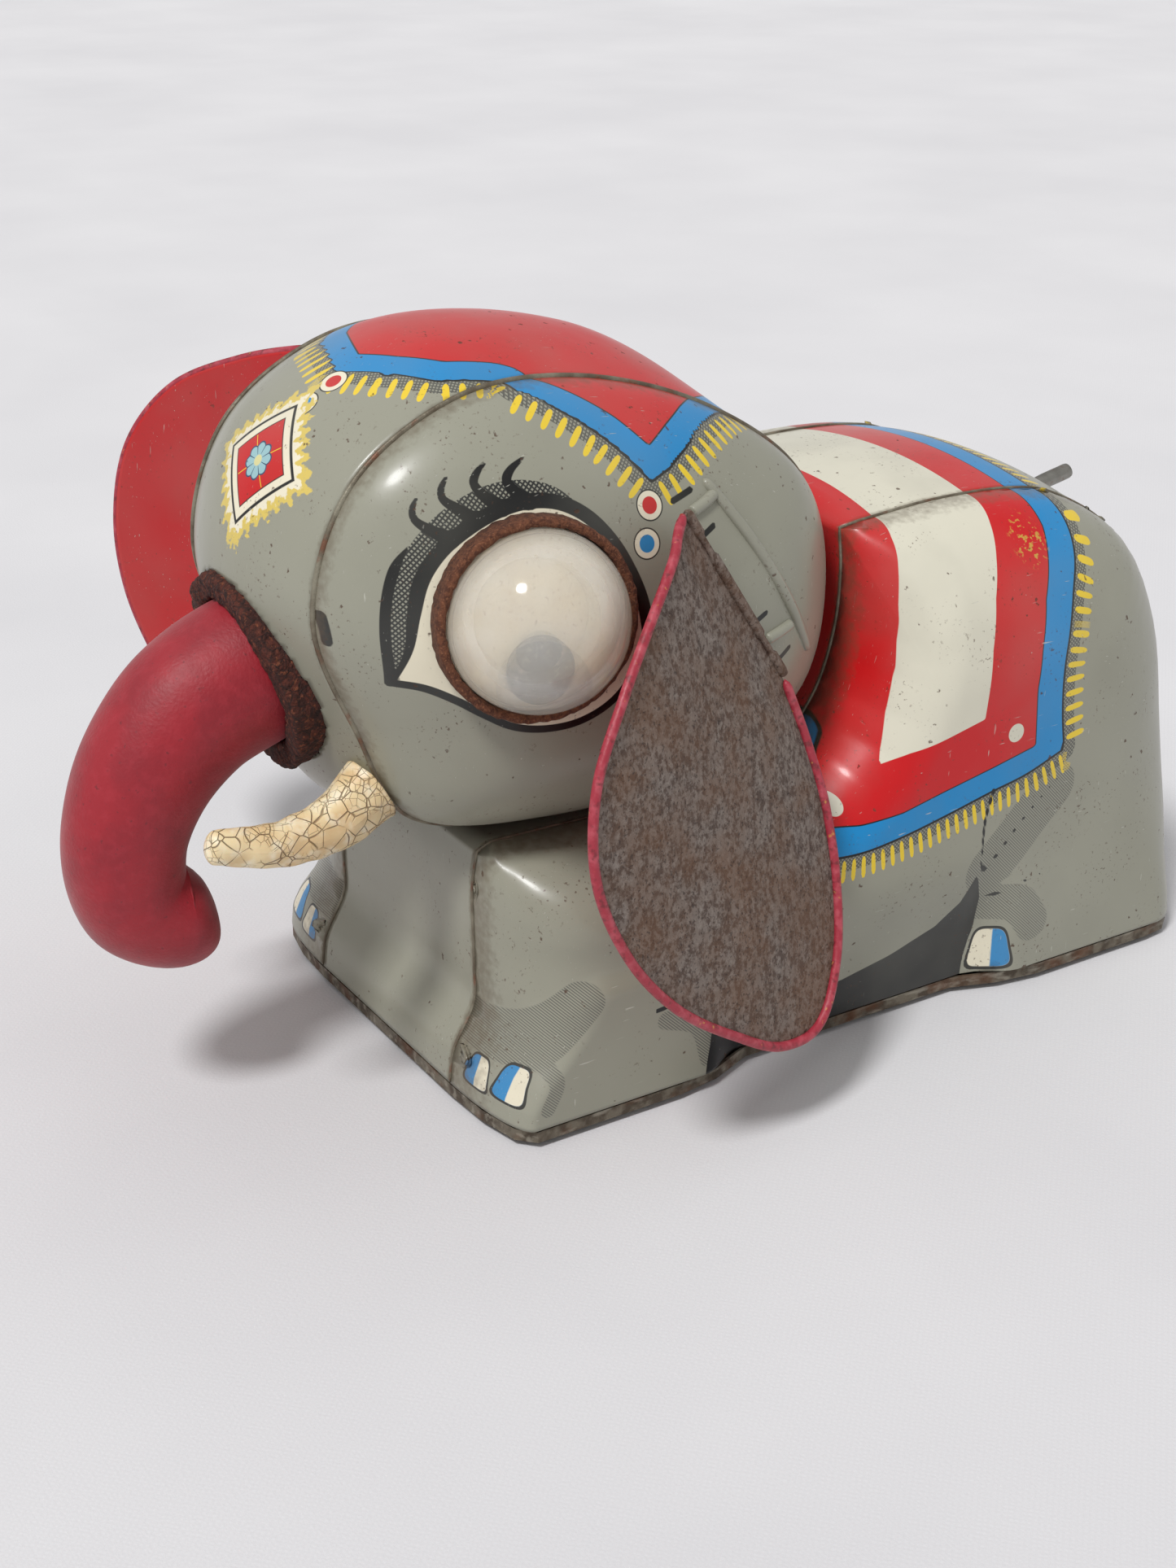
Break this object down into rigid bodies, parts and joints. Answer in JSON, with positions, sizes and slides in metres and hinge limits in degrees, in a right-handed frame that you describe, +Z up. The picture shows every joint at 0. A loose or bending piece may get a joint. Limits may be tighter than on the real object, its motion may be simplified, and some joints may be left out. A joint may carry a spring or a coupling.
{
  "type": "wind up tin toy",
  "caption": "Clockwork tin elephant with a nodding head, swinging ears, rolling eyes, a rubber trunk and wheels under a flat base.",
  "frame": {"origin": "middle of the base tray's underside; the wheels reach 1 mm below it", "axes": "+Z up, the elephant's front towards -Y, its left side towards +X"},
  "size_m": [0.1319, 0.1808, 0.1107],
  "materials": {
    "grey_tin": "gloss litho grey-green",
    "bare_tin": "dull, spotted",
    "ear_tin": "gloss red one side, bare rusty tin on the other",
    "red_rubber": "satin",
    "brown_rubber": "matt, crumbling",
    "ivory_plastic": "crazed satin",
    "works_steel": "dull",
    "spring_steel": "blued",
    "works_brass": "dull",
    "key_steel": "bright",
    "cream_card": "matt",
    "brown_felt": "felted",
    "clear_dome": "clear, yellowed",
    "pupil_grey": "worn"
  },
  "bodies": {
    "chassis": {"base_tray": "bare_tin", "body_centre_strip": "grey_tin", "body_side_left": "grey_tin", "body_side_right": "grey_tin", "motor_plate_left": "works_steel", "motor_plate_right": "works_steel", "motor_pillar_front_high": "works_steel", "motor_pillar_front_low": "works_steel", "motor_pillar_rear_high": "works_steel", "motor_pillar_rear_low": "works_steel", "mainspring": "spring_steel", "lever_stud": "works_steel", "neck_bracket": "works_steel", "neck_pin": "works_steel", "front_axle_bracket_left": "works_steel", "front_axle_bracket_right": "works_steel"},
    "head": {"head_centre_strip": "grey_tin", "head_side_left": "grey_tin", "head_side_right": "grey_tin", "head_hanger": "works_steel", "trunk": "red_rubber", "trunk_collar": "brown_rubber", "tusk_left": "ivory_plastic", "tusk_right": "ivory_plastic", "eye_backing_left": "cream_card", "eye_ring_left": "brown_felt", "eye_dome_left": "clear_dome", "eye_backing_right": "cream_card", "eye_ring_right": "brown_felt", "eye_dome_right": "clear_dome", "ear_strap_left_top": "grey_tin", "ear_strap_left_low": "grey_tin", "ear_strap_right_top": "grey_tin", "ear_strap_right_low": "grey_tin"},
    "left_ear": {"ear_left": "ear_tin"},
    "right_ear": {"ear_right": "ear_tin"},
    "left_pupil": {"pupil_left": "pupil_grey"},
    "right_pupil": {"pupil_right": "pupil_grey"},
    "winding_works": {"great_gear_arbor": "works_brass", "winding_key": "key_steel"},
    "second_gear": {"second_gear_arbor": "works_brass"},
    "rear_wheels": {"rear_axle": "works_steel", "rear_wheel_left": "works_steel", "rear_wheel_right": "works_steel"},
    "front_wheels": {"front_axle_cam": "works_steel", "front_wheel_left": "works_steel", "front_wheel_right": "works_steel"},
    "start_stop": {"start_stop_lever": "works_steel"}
  },
  "joints": [
    {"name": "head_nod", "type": "hinge", "parent": "chassis", "child": "head", "pos_m": [0, -0.04, 0.048], "axis": [1, 0, 0], "range_deg": [-2, 4.5]},
    {"name": "left_ear_swing", "type": "hinge", "parent": "head", "child": "left_ear", "pos_m": [0.03829, -0.03628, 0.09057], "axis": [0, -0.5388, 0.8425], "range_deg": [-5, 95]},
    {"name": "right_ear_swing", "type": "hinge", "parent": "head", "child": "right_ear", "pos_m": [-0.03953, -0.04098, 0.09558], "axis": [0, 0.0349, 0.9994], "range_deg": [-77, 14]},
    {"name": "left_pupil_roll", "type": "hinge", "parent": "head", "child": "left_pupil", "pos_m": [0.0356, -0.05997, 0.07775], "axis": [0.9762, -0.2038, 0.074], "continuous": true},
    {"name": "right_pupil_roll", "type": "hinge", "parent": "head", "child": "right_pupil", "pos_m": [-0.0356, -0.05997, 0.07775], "axis": [-0.9762, -0.2038, 0.074], "continuous": true},
    {"name": "winding", "type": "hinge", "parent": "chassis", "child": "winding_works", "pos_m": [0, 0.023, 0.038], "axis": [1, 0, 0], "continuous": true},
    {"name": "second_gear_turn", "type": "hinge", "parent": "chassis", "child": "second_gear", "pos_m": [0, 0.02592, 0.01821], "axis": [1, 0, 0], "continuous": true},
    {"name": "rear_axle_turn", "type": "hinge", "parent": "chassis", "child": "rear_wheels", "pos_m": [0, 0.039, 0.009], "axis": [1, 0, 0], "continuous": true},
    {"name": "front_axle_turn", "type": "hinge", "parent": "chassis", "child": "front_wheels", "pos_m": [0, -0.028, 0.006], "axis": [1, 0, 0], "continuous": true},
    {"name": "start_stop_tip", "type": "hinge", "parent": "chassis", "child": "start_stop", "pos_m": [0, 0.043, 0.053], "axis": [1, 0, 0], "range_deg": [-3, 3]}
  ],
  "couplings": [
    {"joint": "second_gear_turn", "follows": "winding", "ratio": -4},
    {"joint": "rear_axle_turn", "follows": "winding", "ratio": 12}
  ]
}
